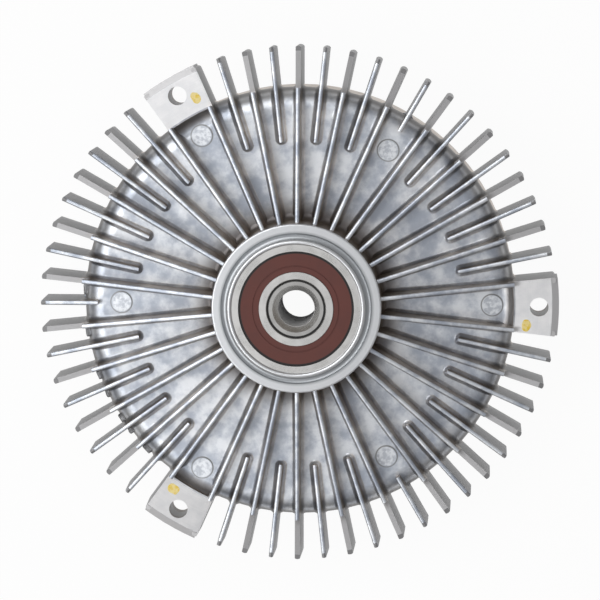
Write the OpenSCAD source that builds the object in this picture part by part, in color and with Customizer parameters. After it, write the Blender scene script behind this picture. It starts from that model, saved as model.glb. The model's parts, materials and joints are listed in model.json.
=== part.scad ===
// Viscous fan clutch: a finned two-part casting that turns on a ball bearing round a hollow drive shaft.
// Z is the clutch axis and points to the bearing side. The clutch lies on its front fins at Z = 0.

/* [Bearing] */
// Bore of the ball bearing and diameter of the shaft's journal in it
bearing_bore_d = 20; // [18:0.5:22]
// Outside diameter of the ball bearing
bearing_outer_d = 47; // [45:0.5:50]
// Width of the ball bearing
bearing_w = 14; // [13:0.5:16]
// Diameter of each ball
ball_d = 7.938; // [7:0.1:8.4]
// Number of balls
ball_count = 8; // [6:1:8]
// Thickness of the inner ring at its end faces
inner_ring_t = 3; // [2.6:0.1:3.4]
// Thickness of the outer ring at its end faces
outer_ring_t = 3.2; // [2.8:0.1:3.6]
// Edge chamfer of both bearing rings
ring_chamfer = 0.6; // [0.3:0.1:1]
// Thickness of each bearing seal
bearing_seal_t = 1.3; // [1:0.1:1.8]
// Depth of each bearing seal below the ring faces
bearing_seal_recess = 0.4; // [0.2:0.1:0.8]
// Radius of the groove in each seal's face
bearing_seal_groove_r = 15.1; // [14.6:0.1:17]
// Radial thickness of the ball cage
cage_t = 2.2; // [1.6:0.1:2.4]
// Gap between the ball cage and each bearing seal
cage_side_gap = 0.5; // [0.3:0.1:0.6]

/* [Drive shaft] */
// Diameter of the bore for the centre bolt
shaft_bore_d = 12.8; // [11:0.2:13.6]
// Diameter of the countersink at the rear end of the bore
shaft_countersink_d = 16.6; // [15:0.2:17.2]
// Depth of the shaft's rear end below the bearing's rear face
shaft_end_recess = 0.4; // [0:0.1:1]
// Diameter of the front journal, on which the shaft seal runs
seal_journal_d = 24; // [23:0.5:26]
// Diameter of the counterbore for the bolt's head
bolt_head_d = 20; // [18:0.5:20.5]
// Depth of the counterbore for the bolt's head
bolt_head_depth = 15; // [12:0.5:16]
// Height of the shaft's front end above the resting plane
shaft_front_z = 3; // [1:0.5:4]
// Step from the front journal up to the rotor's seat
rotor_seat_step = 0.5; // [0.3:0.1:1]
// Step from the rotor's seat up to the flange that stops the rotor
flange_step = 2.5; // [1.5:0.5:3]
// Length of the neck between the flange and the bearing
neck_l = 3; // [2:0.5:4]

/* [Axial stack] */
// Height of the front cover's fins, from the resting plane to the cover's wall
cover_fin_h = 8; // [7.5:0.5:12]
// Thickness of the front cover's wall
cover_t = 3.5; // [3:0.5:5]
// Depth of the supply chamber between the cover's wall and the separator plate
supply_depth = 6; // [5:0.5:9]
// Thickness of the separator plate
plate_t = 1; // [0.8:0.1:1.5]
// Gap between the separator plate and the rotor
plate_gap = 1.5; // [1.4:0.1:2.5]
// Thickness of the rotor's disc
rotor_t = 4; // [3:0.5:6]
// Gap between the rotor and the housing's floor
working_gap = 0.8; // [0.5:0.1:1.5]
// Thickness of the housing's floor
floor_t = 6.5; // [5.5:0.5:9]
// Height of the machined lug faces above the housing's floor
lug_rise = 4.7; // [3:0.1:7]
// Height of the bearing's seat above the housing's floor
bearing_seat_rise = 2.7; // [1.5:0.1:5]

/* [Rear housing] */
// Diameter over the fin tips
tip_d = 182.6; // [178:0.2:186]
// Diameter of the housing's outer wall
rim_d = 153; // [150:1:158]
// Thickness of the housing's outer wall
rim_wall = 4; // [3.5:0.5:6]
// Radius of the round shoulder between the floor and the outer wall
shoulder_r = 7; // [5:0.5:9]
// Radius of the round inner corner of the working chamber
chamber_corner_r = 3; // [1:0.5:4]
// Diameter of the hub round the bearing
hub_d = 59.6; // [57.5:0.5:64]
// Fillet between the hub and the floor
hub_fillet_r = 2.5; // [1:0.5:4]
// Rounding of the hub's outer edge
hub_edge_r = 0.6; // [0.3:0.1:1]
// Depth of the hub's flat face below the bearing's rear face
hub_face_drop = 1; // [0.5:0.1:2]
// Width of the hub's flat face
hub_face_w = 3.3; // [2.5:0.1:3.6]
// Depth of the groove inside the hub's flat face
hub_groove_depth = 0.8; // [0.3:0.1:1.5]
// Width of the shoulder that carries the bearing's outer ring
bearing_shoulder_w = 3; // [2:0.5:3.5]
// Radius of the lip that is rolled over the bearing's outer ring
stake_lip_r = 0.9; // [0.6:0.1:1]
// Number of ribs on the rotor and of the grooves that they run in
rib_count = 4; // [2:1:5]
// Radius of the innermost rib
rib_r = 46; // [40:1:50]
// Distance from one rib to the next
rib_pitch = 5; // [4.5:0.5:5]
// Thickness of each rib
rib_t = 1.6; // [1.2:0.1:2]
// Height of each rib
rib_h = 2.6; // [1.5:0.1:3]

/* [Rear fins] */
// Number of long fins, a multiple of six so that the three lugs fall between two of them
long_fin_count = 30; // [24:6:36]
// Thickness of a fin's crest
fin_crest_t = 1.5; // [1.2:0.1:2]
// Draft of each fin side in degrees
fin_draft = 1.5; // [1:0.1:2.5]
// Height of a long fin's crest at the hub above the lug faces
fin_hub_rise = 6.6; // [4:0.1:8]
// Height of a long fin's crest at the rim above the lug faces
fin_rim_rise = 2.7; // [1.5:0.1:4]
// Thickness of the flat edge of a long fin's overhang
overhang_t = 1.85; // [1.8:0.05:2.6]
// Depth of the overhang's flat edge below the lug faces
overhang_drop = 0.15; // [0.1:0.05:0.4]
// Length along the axis of the overhanging fins
overhang_l = 17; // [12:0.5:20]
// Depth of a short fin's crest below the lug faces
short_fin_drop = 0.5; // [0.2:0.1:1.5]
// Radius at which a short fin starts
short_fin_r = 57.7; // [50:0.5:62]
// Radius at which the stub fins outside the pads start
stub_fin_r = 71; // [70.5:0.5:73]
// Radius of the rounded fin ends
fin_end_r = 1.6; // [1.4:0.1:2]
// Radius of the round at the foot of each fin, along the floor and down the outer wall
foot_r = 2.2; // [1.6:0.1:2.6]

/* [Lugs and pads] */
// Distance from the outer wall to the middle of each lug hole
lug_hole_reach = 8.5; // [7:0.5:10]
// Distance from the middle of each lug hole to the lug's outer edge
lug_edge = 7; // [5.5:0.5:9]
// Diameter of each lug hole
lug_hole_d = 6.6; // [5:0.1:8.4]
// Thickness of each lug
lug_t = 16; // [12:0.5:18]
// Width of the bevel along each lug's outer edge
lug_bevel_w = 2.4; // [1:0.1:3]
// Depth of the bevel along each lug's outer edge
lug_bevel_h = 0.8; // [0.3:0.1:1.5]
// Height of each lug's inner wall between its face and the round that rises from the floor
lug_wall_h = 0.7; // [0.3:0.1:1.5]
// Diameter of the ejector pads on the floor
pad_d = 7.3; // [5:0.1:7.6]
// Height of the ejector pads
pad_h = 0.5; // [0.2:0.05:0.8]
// Radius of the pads inside the lugs
lug_pad_r = 68.5; // [64:0.5:70]
// Radius of the pads inside the stub fins
stub_pad_r = 63; // [58:0.5:65]

/* [Front cover] */
// Length of the cover's edge in the housing
cover_edge_l = 4.2; // [4:0.1:6]
// Height of the cover's edge above the front of its wall
cover_edge_rise = 1; // [0.5:0.1:1.5]
// Thickness of the housing's lip over the cover's edge
roll_lip_t = 1.6; // [1:0.1:2]
// Width of the housing's lip over the cover's edge
roll_lip_w = 2.4; // [1.5:0.1:3]
// Width of the step that seats the cover's edge
cover_seat_w = 1.5; // [1:0.1:2]
// Diameter of the seal ring's section
seal_ring_d = 1.8; // [1.4:0.1:2]
// Number of front fins
cover_fin_count = 36; // [24:2:40]
// Thickness of a front fin's edge
cover_fin_t = 1.8; // [1.4:0.1:2.2]
// Radius at which the short front fins start
cover_short_fin_r = 44; // [40:1:50]
// Wall of the boss round the shaft seal
seal_boss_wall = 4; // [3:0.5:5]
// Height of the seal boss's front end above the resting plane
seal_boss_z = 2.5; // [1:0.5:3]

/* [Shaft seal] */
// Radial height of the shaft seal's section
shaft_seal_h = 5.5; // [5.5:0.1:6.5]
// Length of the shaft seal
shaft_seal_l = 7; // [6.5:0.1:7.2]
// Depth of the seal's front face inside its boss
shaft_seal_recess = 1; // [0.5:0.1:1.4]
// Sheet thickness of the seal's case
shaft_seal_case_t = 1; // [0.8:0.1:1.2]
// Wire coil diameter of the garter spring
garter_d = 1.4; // [1:0.1:1.6]

/* [Valve and bimetal strip] */
// Distance of the bimetal strip and the control pin from the clutch axis
strip_offset = 31; // [30:0.5:34]
// Length of the bimetal strip
strip_l = 60; // [54:1:64]
// Width of the bimetal strip
strip_w = 12; // [9:0.5:13]
// Thickness of the bimetal strip
strip_t = 1; // [0.8:0.1:1.4]
// Height of the strip above the resting plane
strip_z = 3.6; // [3:0.1:4]
// Length of each post that holds the strip
post_l = 6; // [4:0.5:8]
// Wall of each post round the strip
post_wall = 1.6; // [1.2:0.1:2]
// Distance between the two posts, middle to middle
post_span = 50; // [44:1:52]
// Diameter of the control pin
pin_d = 4; // [3:0.1:5]
// Diameter of the boss that guides the control pin
pin_boss_d = 11; // [10:0.5:13]
// Depth of the pin boss inside the supply chamber
pin_boss_l = 2; // [1:0.5:3]
// Diameter of the pin seal's section
pin_seal_d = 1.5; // [1.2:0.1:1.7]
// Width of the valve lever
lever_w = 8; // [6:0.5:9]
// Thickness of the valve lever
lever_t = 0.4; // [0.3:0.05:0.6]
// Distance from the control pin to the lever's rivet
lever_rivet_x = 24; // [18:1:28]
// Distance from the control pin to the plate's port
port_x = 10; // [9:0.5:12]
// Width of the port along the lever
port_w = 4; // [3:0.5:5]
// Length of the port across the lever
port_l = 6; // [4:0.5:6.5]
// Shank diameter of the rivets
rivet_d = 2.8; // [2:0.1:3.2]
// Head diameter of the rivets
rivet_head_d = 5; // [4.2:0.1:5.4]
// Height of the rivet heads
rivet_head_h = 0.8; // [0.5:0.1:1]
// Number of rivets that hold the separator plate
plate_rivet_count = 6; // [4:1:10]
// Length of a plate rivet's shank in the cover
plate_rivet_l = 4; // [2:0.5:4.5]
// Width of the ledge that carries the separator plate
ledge_w = 5.5; // [5:0.5:7]
// Diameter of the hole through which the fluid returns
return_hole_d = 4; // [3:0.5:4.5]
// Number of fluid holes in the rotor
rotor_hole_count = 6; // [4:1:10]
// Diameter of the fluid holes in the rotor
rotor_hole_d = 6; // [4:0.5:8]
// Radius of the circle of fluid holes
rotor_hole_r = 34; // [30:1:37]

/* [Clearances] */
// Radial gap of pieces that are pressed together
press_gap = 0.01; // [0.005:0.005:0.02]
// Gap between seated pieces
seat_gap = 0.02; // [0.01:0.01:0.05]
// Radial gap of running and sliding fits
running_gap = 0.05; // [0.03:0.01:0.08]
// Gap between the rotor's rim and the housing
rotor_rim_gap = 1; // [0.6:0.1:1.5]
// Gap between the shaft and the separator plate
plate_shaft_gap = 1; // [0.6:0.1:1.2]

/* [Hidden] */
$fn = 96;
// Depth by which a feature runs into the body that carries it
sink = 1.5;
// Overlap of a cutting shape past the face that it cuts
cut = 1;

// Heights, from the resting plane up
cover_in_z = cover_fin_h + cover_t;
plate_z = cover_in_z + supply_depth;
rotor_z = plate_z + plate_t + plate_gap;
rotor_top_z = rotor_z + rotor_t;
floor_in_z = rotor_top_z + working_gap;
floor_z = floor_in_z + floor_t;
lug_z = floor_z + lug_rise;
bearing_z = floor_z + bearing_seat_rise;
bearing_top_z = bearing_z + bearing_w;
hub_face_z = bearing_top_z - hub_face_drop;
shaft_end_z = bearing_top_z - shaft_end_recess;
overhang_z = lug_z - overhang_l;
cover_edge_z = cover_fin_h + cover_edge_rise;
cover_seat_z = cover_edge_z + cover_edge_l;
roll_lip_z = cover_edge_z - roll_lip_t;

// Radii of the bearing
journal_r = bearing_bore_d / 2;
bearing_r = bearing_outer_d / 2;
ball_r = ball_d / 2;
pitch_r = (journal_r + bearing_r) / 2;
inner_face_r = journal_r + inner_ring_t;
outer_face_r = bearing_r - outer_ring_t;
// Share of the ball's radius between the pitch circle and each race shoulder
race_share = 0.6;
inner_shoulder_r = pitch_r - race_share * ball_r;
outer_shoulder_r = pitch_r + race_share * ball_r;
// Gap between a seal and the inner ring's shoulder
seal_shoulder_gap = 0.35;
bearing_seal_depth = bearing_seal_recess + bearing_seal_t;
// Depth and half width of the groove in a seal's face
bearing_seal_groove = 0.25;
cage_w = bearing_w - 2 * (bearing_seal_depth + cage_side_gap);

// Radii of the housing
tip_r = tip_d / 2;
rim_r = rim_d / 2;
floor_edge_r = rim_r - shoulder_r;
lug_hole_r = rim_r + lug_hole_reach;
lug_r = lug_hole_r + lug_edge;
// Depth by which a lug runs into the outer wall and into the fins
lug_sink = 0.4;
// Radius of the round between the floor and each lug's inner wall
lug_foot_r = lug_rise - lug_wall_h;
hub_r = hub_d / 2;
chamber_r = rim_r - rim_wall;
cover_seat_r = chamber_r + cover_seat_w;
cover_r = cover_seat_r - seat_gap;
bearing_seat_r = bearing_r + press_gap;
passage_r = bearing_r - bearing_shoulder_w;
stake_r = bearing_seat_r + stake_lip_r;
hub_face_r = hub_r - hub_face_w;
rotor_r = chamber_r - rotor_rim_gap;
groove_t = rib_t + 2 * working_gap;

// Radii of the shaft and of what sits on it
seal_journal_r = seal_journal_d / 2;
rotor_seat_r = seal_journal_r + rotor_seat_step;
flange_r = rotor_seat_r + flange_step;
// Step from the neck out to the edge of the inner ring's face
neck_step = 0.2;
neck_r = inner_face_r - neck_step;
shaft_bore_r = shaft_bore_d / 2;
// Wall and height of the rotor's boss
rotor_boss_wall = 5;
rotor_boss_h = 2;
rotor_boss_z = rotor_top_z + rotor_boss_h;
rotor_boss_r = rotor_seat_r + rotor_boss_wall;
seal_seat_r = seal_journal_r + shaft_seal_h;
seal_boss_r = seal_seat_r + seal_boss_wall;
seal_front_z = seal_boss_z + shaft_seal_recess;
seal_back_z = seal_front_z + shaft_seal_l;

// Fin layout
fin_pitch = 360 / long_fin_count;
lug_count = 3;
lug_step = long_fin_count / lug_count;
// Distance from the outer wall to the step where a long fin's overhang starts
fin_step = 0.2;
fin_step_r = rim_r + fin_step;
fin_slope = atan((fin_hub_rise - fin_rim_rise) / (fin_step_r - hub_r));
// Half width between the rounds at a fin's foot, a little inside the fin's sides
foot_inset = 0.15;
foot_half = overhang_t / 2 - foot_inset;
// Radius of the crowned crest as a share of its thickness, and the drop at which the crown ends
crown_share = 0.75;
crown_r = fin_crest_t * crown_share;
crown_drop = crown_r / 2;

// Radii of the separator plate and of the ledge that carries it
ledge_gap = 2.5;
plate_edge = 0.5;
ledge_r = chamber_r - ledge_gap;
ledge_mid_r = ledge_r - ledge_w / 2;
plate_r = ledge_r + plate_edge;
lever_z = plate_z - lever_t;
// Length of the lever past the port
lever_tail = 2;

// A flat ring about the clutch axis
module ring(inner_r, outer_r, z, h) {
    rotate_extrude()
        translate([inner_r, z])
            square([outer_r - inner_r, h]);
}

// Copies of a shape round the clutch axis
module round_axis(count, start = 0) {
    for (i = [0 : count - 1])
        rotate(start + i * 360 / count)
            children();
}

// A square corner filled by a round of radius r, whose corner lies at the origin and opens to +X and +Y
module fillet_section(r) {
    difference() {
        translate([-sink, -sink])
            square(r + sink);
        translate([r, r])
            circle(r);
    }
}

// Section across a fin: drafted sides under a crowned crest, with the crest at the origin
module fin_section(depth) {
    spread = depth * tan(fin_draft);
    half = fin_crest_t / 2;
    intersection() {
        polygon([[-half - spread, -depth], [half + spread, -depth], [half, 0], [-half, 0]]);
        union() {
            translate([0, -crown_r])
                circle(crown_r);
            translate([-depth, -depth])
                square([2 * depth, depth - crown_drop]);
        }
    }
}

// A bar along +X with the given section in the YZ plane
module along_x(length) {
    rotate([90, 0, 90])
        linear_extrude(length)
            children();
}

// Plan of a fin with round ends, from radius r0 to radius r1
module fin_plan(r0, r1) {
    // Share of the end's radius at which the round passes into the fin's sides
    end_share = 0.5;
    reach = fin_end_r * end_share;
    for (r = [r0 + fin_end_r, r1 - fin_end_r])
        translate([r, 0])
            circle(fin_end_r);
    translate([r0 + reach, -2 * fin_end_r])
        square([r1 - r0 - 2 * reach, 4 * fin_end_r]);
}

// A long fin: a sloping crest from the hub to the rim, then an overhang with a flat edge
module long_fin() {
    start_r = hub_r - sink;
    crest_z = lug_z + fin_hub_rise + sink * tan(fin_slope);
    blade_depth = fin_hub_rise + lug_rise + sink;
    half = overhang_t / 2;
    depth = overhang_l - overhang_drop;
    spread = depth * tan(fin_draft);
    overhang_r = rim_r - rim_wall / 2;
    translate([start_r, 0, crest_z])
        rotate([0, fin_slope, 0])
            along_x((fin_step_r - start_r) / cos(fin_slope))
                fin_section(blade_depth);
    intersection() {
        translate([overhang_r, 0, lug_z - overhang_drop])
            along_x(tip_r - overhang_r)
                polygon([[-half, 0], [-half - spread, -depth], [half + spread, -depth], [half, 0]]);
        translate([0, 0, overhang_z - cut])
            linear_extrude(overhang_l + 2 * cut)
                fin_plan(overhang_r - 2 * fin_end_r, tip_r);
    }
}

// A short fin with a level crest, from radius start_r over the shoulder to the tip
module short_fin(start_r) {
    crest_z = lug_z - short_fin_drop;
    depth = crest_z - overhang_z;
    overhang_r = rim_r - rim_wall / 2;
    foot_z = floor_z - sink;
    bend_r = max(start_r + fin_end_r, floor_edge_r);
    intersection() {
        translate([start_r, 0, crest_z])
            along_x(tip_r - start_r)
                fin_section(depth);
        rotate([90, 0, 0])
            linear_extrude(4 * fin_end_r, center = true)
                polygon([[start_r - cut, foot_z], [bend_r, foot_z], [overhang_r, foot_z - shoulder_r + sink],
                    [overhang_r, overhang_z], [tip_r + cut, overhang_z], [tip_r + cut, crest_z + cut],
                    [start_r - cut, crest_z + cut]]);
        translate([0, 0, overhang_z - cut])
            linear_extrude(depth + 2 * cut)
                fin_plan(start_r, tip_r);
    }
}

// Section of the rounds on both sides of a fin's foot, with the fin on the Y axis and the floor at Y = 0
module foot_section() {
    // Depth by which each round's lower end dips under the section's floor
    dip = 0.05;
    centre = [foot_half + foot_r, foot_r - dip];
    difference() {
        translate([-centre[0], -sink])
            square([2 * centre[0], sink + centre[1]]);
        translate([-centre[0], centre[1]])
            circle(foot_r);
        translate(centre)
            circle(foot_r);
    }
}

// The rounds at the foot of a fin that starts at radius start_r: along the floor, where they run out in
// a slope before the shoulder, about the end of a short fin, and down the outer wall
module fin_foot(start_r) {
    // Depth of the rounds' own floor and wall inside the casting's
    inset = 0.1;
    bar_r = start_r + overhang_t / 2;
    end_r = floor_edge_r - inset;
    if (bar_r < end_r - foot_r)
        translate([0, 0, floor_z - inset])
            intersection() {
                translate([bar_r, 0])
                    along_x(end_r + sink - bar_r)
                        foot_section();
                rotate([90, 0, 0])
                    linear_extrude(4 * foot_r, center = true)
                        polygon([[bar_r - cut, -sink - cut], [end_r + sink + cut, -sink - cut],
                            [end_r - foot_r, foot_r], [bar_r - cut, foot_r]]);
            }
    if (start_r > hub_r && bar_r < end_r - foot_r)
        translate([bar_r, 0, floor_z - inset])
            rotate(90)
                rotate_extrude(angle = 180)
                    intersection() {
                        foot_section();
                        translate([0, -2 * sink])
                            square(2 * (sink + foot_half + foot_r));
                    }
    translate([rim_r - inset, 0, overhang_z])
        rotate(-90)
            linear_extrude(floor_z - shoulder_r - inset - overhang_z)
                foot_section();
}

// A bolt lug between two long fins, with its sides inside theirs and a bevel along its outer edge
module lug() {
    half_angle = fin_pitch / 2;
    offset_y = overhang_t / 2 - lug_sink;
    along = [cos(half_angle), sin(half_angle)];
    across = [-sin(half_angle), cos(half_angle)];
    near = rim_r / 2 * along + offset_y * across;
    far = 2 * lug_r * along + offset_y * across;
    low_z = lug_z - lug_t;
    intersection() {
        translate([0, 0, low_z])
            linear_extrude(lug_t)
                polygon([near, far, [far[0], -far[1]], [near[0], -near[1]]]);
        rotate_extrude()
            polygon([[rim_r - lug_sink, low_z], [lug_r, low_z], [lug_r, lug_z - lug_bevel_h],
                [lug_r - lug_bevel_w, lug_z], [rim_r - lug_sink, lug_z]]);
    }
}

// The round from the floor up to a lug's inner wall, with its sides inside the two fins beside the lug
module lug_foot() {
    // Depth by which the round's ends run into the floor and into the wall
    dip = 0.1;
    corner = [rim_r - lug_sink + dip, floor_z - dip];
    rotate(-fin_pitch / 2)
        rotate_extrude(angle = fin_pitch) {
            translate(corner)
                mirror([1, 0])
                    fillet_section(lug_foot_r);
            translate([chamber_r, floor_z - shoulder_r])
                square([rim_r - chamber_r, shoulder_r - dip]);
            translate([floor_edge_r - sink, floor_z - 2 * sink])
                square([shoulder_r + sink, 2 * sink - dip]);
        }
}

// The bolt hole through a lug
module lug_hole() {
    translate([lug_hole_r, 0, lug_z - lug_t - cut])
        cylinder(h = lug_t + 2 * cut, d = lug_hole_d);
}

// Half section of the housing without its fins
module housing_section() {
    difference() {
        union() {
            translate([chamber_r - sink, roll_lip_z])
                square([rim_r - chamber_r + sink, floor_z - shoulder_r - roll_lip_z]);
            translate([passage_r, floor_in_z])
                square([floor_edge_r - passage_r, floor_t]);
            translate([floor_edge_r, floor_z - shoulder_r])
                circle(shoulder_r);
            translate([passage_r, floor_in_z])
                square([hub_r - passage_r, hub_face_z - hub_edge_r - floor_in_z]);
            translate([passage_r, hub_face_z - hub_edge_r - cut])
                square([hub_r - hub_edge_r - passage_r, hub_edge_r + cut]);
            translate([hub_r - hub_edge_r, hub_face_z - hub_edge_r])
                circle(hub_edge_r);
            translate([hub_r, floor_z])
                fillet_section(hub_fillet_r);
        }
        translate([0, floor_in_z - shoulder_r - rim_wall])
            square([chamber_r - chamber_corner_r, shoulder_r + rim_wall]);
        translate([0, cover_seat_z - cut])
            square([chamber_r, floor_in_z - chamber_corner_r - cover_seat_z + cut]);
        translate([chamber_r - chamber_corner_r, floor_in_z - chamber_corner_r])
            circle(chamber_corner_r);
        translate([0, cover_edge_z])
            square([cover_seat_r, cover_edge_l]);
        translate([0, roll_lip_z - cut])
            square([cover_seat_r - roll_lip_w, cut + cover_edge_l]);
        translate([0, bearing_z])
            square([bearing_seat_r, bearing_w + cut]);
        translate([0, hub_face_z - hub_groove_depth])
            square([hub_face_r, hub_face_drop + hub_groove_depth + cut]);
        for (i = [0 : rib_count - 1])
            translate([rib_r + i * rib_pitch - groove_t / 2, floor_in_z - cut])
                square([groove_t, rib_h + cut]);
    }
    // The lip round the bearing, rolled over the edge of its outer ring
    difference() {
        union() {
            translate([bearing_seat_r, hub_face_z - hub_groove_depth - cut])
                square([stake_lip_r, hub_face_drop + hub_groove_depth + cut]);
            translate([bearing_seat_r, bearing_top_z])
                circle(stake_lip_r);
        }
        translate([bearing_seat_r - 2 * stake_lip_r, bearing_top_z - 2 * stake_lip_r])
            square([2 * stake_lip_r, 2 * stake_lip_r + seat_gap]);
    }
}

module rear_housing() {
    color("silver")
        difference() {
            union() {
                rotate_extrude()
                    housing_section();
                round_axis(long_fin_count, fin_pitch / 2) {
                    long_fin();
                    fin_foot(hub_r - sink);
                }
                for (i = [0 : long_fin_count - 1])
                    if (i % lug_step != 0) {
                        start_r = i % lug_step == lug_step / 2 ? stub_fin_r : short_fin_r;
                        rotate(i * fin_pitch) {
                            short_fin(start_r);
                            fin_foot(start_r);
                        }
                    }
                round_axis(lug_count) {
                    lug();
                    lug_foot();
                }
                for (pad = [[0, lug_pad_r], [180 / lug_count, stub_pad_r]])
                    round_axis(lug_count, pad[0])
                        translate([pad[1], 0, floor_z - 2 * sink])
                            cylinder(h = 2 * sink + pad_h, d = pad_d);
            }
            round_axis(lug_count)
                lug_hole();
        }
}

// Half section of the front cover without its fins
module cover_section() {
    wall_r = cover_seat_r - roll_lip_w - seat_gap;
    groove_r = cover_r - seal_ring_d - seat_gap;
    groove_l = seal_ring_d + 2 * seat_gap;
    lip_r = seal_journal_r + shaft_seal_h / 2;
    difference() {
        union() {
            translate([lip_r, cover_fin_h])
                square([wall_r - lip_r, cover_t]);
            translate([wall_r - ledge_w, cover_edge_z])
                square([cover_r - wall_r + ledge_w, cover_edge_l - seat_gap]);
            translate([ledge_r - ledge_w, cover_in_z - sink])
                square([ledge_w, supply_depth + sink]);
            translate([lip_r, seal_boss_z])
                square([seal_boss_r - lip_r, cover_in_z - seal_boss_z]);
        }
        translate([0, seal_boss_z - cut])
            square([seal_seat_r, seal_back_z - seal_boss_z + cut + seat_gap]);
        translate([groove_r, cover_edge_z + (cover_edge_l - groove_l) / 2])
            square([cover_r - groove_r + cut, groove_l]);
    }
}

// A front fin from radius start_r to the cover's edge
module cover_fin(start_r) {
    half = cover_fin_t / 2;
    depth = cover_fin_h + sink;
    spread = depth * tan(fin_draft);
    end_r = cover_seat_r - roll_lip_w - sink;
    translate([start_r, 0, 0])
        along_x(end_r - start_r)
            polygon([[-half, 0], [half, 0], [half + spread, depth], [-half - spread, depth]]);
}

// The clear space round the bimetal strip, between the front fins
module strip_bay() {
    bay_w = strip_w + 4 * post_wall;
    bay_l = strip_l + 2 * post_l;
    translate([-bay_l / 2, -strip_offset - bay_w / 2, -cut])
        cube([bay_l, bay_w, cover_fin_h + cut]);
}

// A post that holds one end of the bimetal strip in a slot
module strip_post() {
    post_w = strip_w + 2 * post_wall;
    slot_t = strip_t + 2 * seat_gap;
    slot_w = strip_w + 2 * seat_gap;
    difference() {
        translate([-post_l / 2, -post_w / 2, strip_z - post_wall])
            cube([post_l, post_w, cover_fin_h - strip_z + post_wall + sink]);
        translate([-post_l / 2 - cut, -slot_w / 2, strip_z - seat_gap])
            cube([post_l + 2 * cut, slot_w, slot_t]);
    }
}

module front_cover() {
    pin_seal_z = cover_fin_h + (cover_t - pin_seal_d) / 2;
    // Room for the strip to bow against the pin's boss
    strip_room = 1.5;
    pin_boss_front_z = strip_z + strip_t + strip_room;
    pin_boss_top_z = cover_in_z + pin_boss_l;
    color("gainsboro")
        difference() {
            union() {
                rotate_extrude()
                    cover_section();
                difference() {
                    for (i = [0 : cover_fin_count - 1])
                        rotate(i * 360 / cover_fin_count)
                            cover_fin(i % 2 == 0 ? seal_boss_r + sink : cover_short_fin_r);
                    strip_bay();
                }
                for (side = [-1, 1])
                    translate([side * post_span / 2, -strip_offset, 0])
                        strip_post();
                translate([0, -strip_offset, pin_boss_front_z])
                    cylinder(h = pin_boss_top_z - pin_boss_front_z, d = pin_boss_d);
            }
            translate([0, -strip_offset, 0]) {
                translate([0, 0, strip_z + strip_t])
                    cylinder(h = pin_boss_top_z, d = pin_d + 2 * running_gap);
                translate([0, 0, pin_seal_z - seat_gap])
                    cylinder(h = pin_seal_d + 2 * seat_gap,
                        r = pin_d / 2 + running_gap + pin_seal_d + seat_gap);
            }
            round_axis(plate_rivet_count)
                translate([ledge_mid_r, 0, plate_z - plate_rivet_l - seat_gap])
                    cylinder(h = plate_rivet_l + cut, d = rivet_d + 2 * seat_gap);
        }
}

module cover_seal_ring() {
    color("black")
        rotate_extrude()
            translate([cover_r - seal_ring_d / 2, cover_edge_z + cover_edge_l / 2])
                circle(d = seal_ring_d);
}

// Half section of a ball race, which both rings are cut by
module race_section() {
    translate([pitch_r, bearing_z + bearing_w / 2])
        circle(ball_r + running_gap);
}

module bearing_outer_ring() {
    c = ring_chamfer;
    color("lightsteelblue")
        rotate_extrude()
            difference() {
                polygon([[outer_face_r, bearing_z], [bearing_r - c, bearing_z], [bearing_r, bearing_z + c],
                    [bearing_r, bearing_top_z - c], [bearing_r - c, bearing_top_z],
                    [outer_face_r, bearing_top_z], [outer_face_r, bearing_top_z - bearing_seal_depth],
                    [outer_shoulder_r, bearing_top_z - bearing_seal_depth],
                    [outer_shoulder_r, bearing_z + bearing_seal_depth],
                    [outer_face_r, bearing_z + bearing_seal_depth]]);
                race_section();
            }
}

module bearing_inner_ring() {
    c = ring_chamfer;
    r = journal_r + press_gap;
    depth = bearing_seal_depth + seal_shoulder_gap;
    color("lightsteelblue")
        rotate_extrude()
            difference() {
                polygon([[r + c, bearing_z], [inner_face_r, bearing_z], [inner_face_r, bearing_z + depth],
                    [inner_shoulder_r, bearing_z + depth], [inner_shoulder_r, bearing_top_z - depth],
                    [inner_face_r, bearing_top_z - depth], [inner_face_r, bearing_top_z],
                    [r + c, bearing_top_z], [r, bearing_top_z - c], [r, bearing_z + c]]);
                race_section();
            }
}

// The ring of balls, or of the pockets that hold them
module ball_ring(d) {
    round_axis(ball_count)
        translate([pitch_r, 0, bearing_z + bearing_w / 2])
            sphere(d = d);
}

module bearing_balls() {
    color("white")
        ball_ring(ball_d);
}

module bearing_cage() {
    color("darkkhaki")
        difference() {
            ring(pitch_r - cage_t / 2, pitch_r + cage_t / 2, bearing_z + (bearing_w - cage_w) / 2, cage_w);
            ball_ring(ball_d + 4 * running_gap);
        }
}

// A bearing seal with its face at the origin and its inner side below
module bearing_seal() {
    inner_r = inner_face_r + 2 * running_gap;
    outer_r = outer_face_r - seat_gap;
    color("saddlebrown")
        rotate_extrude()
            difference() {
                translate([inner_r, -bearing_seal_t + seat_gap])
                    square([outer_r - inner_r, bearing_seal_t - seat_gap]);
                translate([bearing_seal_groove_r - bearing_seal_groove, -bearing_seal_groove])
                    square([2 * bearing_seal_groove, bearing_seal_groove + cut]);
            }
}

module bearing_rear_seal() {
    translate([0, 0, bearing_top_z - bearing_seal_recess])
        bearing_seal();
}

module bearing_front_seal() {
    translate([0, 0, bearing_z + bearing_seal_recess])
        mirror([0, 0, 1])
            bearing_seal();
}

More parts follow.
